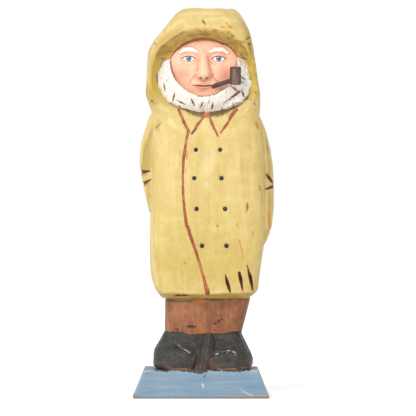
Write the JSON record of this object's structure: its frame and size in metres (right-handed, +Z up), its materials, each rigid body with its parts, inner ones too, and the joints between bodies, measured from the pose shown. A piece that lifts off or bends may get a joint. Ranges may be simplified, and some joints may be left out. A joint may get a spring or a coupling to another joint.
{
  "type": "carved wooden figurine",
  "caption": "Free-standing carved and painted wooden fisherman with a hooded oilskin, beard, pipe and bevelled base.",
  "frame": {"origin": "centre of the base's flat underside", "axes": "+Z up along the figure; the figure faces -Y; +X is on the viewer's right, the figure's left"},
  "size_m": [0.0927, 0.0612, 0.2552],
  "materials": {
    "base_paint": "light blue paint on wood, satin",
    "screw_steel": "plain steel, dull",
    "boot_paint": "worn black paint on wood, satin",
    "trouser_paint": "terracotta paint on wood, matte",
    "bare_wood": "bare turned birch",
    "oilskin_paint": "pale yellow paint on wood, satin",
    "button_steel": "blued steel nail head, satin",
    "skin_paint": "flesh paint on wood, satin",
    "beard_paint": "thick white paint on wood, satin",
    "pipe_wood": "dark brown stained wood, satin"
  },
  "bodies": {
    "root": {"base": "base_paint", "base_screw_right": "screw_steel", "base_screw_left": "screw_steel", "boot_right": "boot_paint", "boot_left": "boot_paint", "trousers": "trouser_paint", "hip_dowel_right": "bare_wood", "hip_dowel_left": "bare_wood", "coat": "oilskin_paint", "sleeve_right": "oilskin_paint", "sleeve_left": "oilskin_paint", "button_right_1": "button_steel", "button_right_2": "button_steel", "button_right_3": "button_steel", "button_right_4": "button_steel", "button_left_1": "button_steel", "button_left_2": "button_steel", "button_left_3": "button_steel", "button_left_4": "button_steel", "neck_dowel": "bare_wood", "hood": "oilskin_paint", "head": "skin_paint", "beard": "beard_paint", "pipe_stem": "pipe_wood", "pipe_bowl": "pipe_wood"}
  },
  "joints": []
}
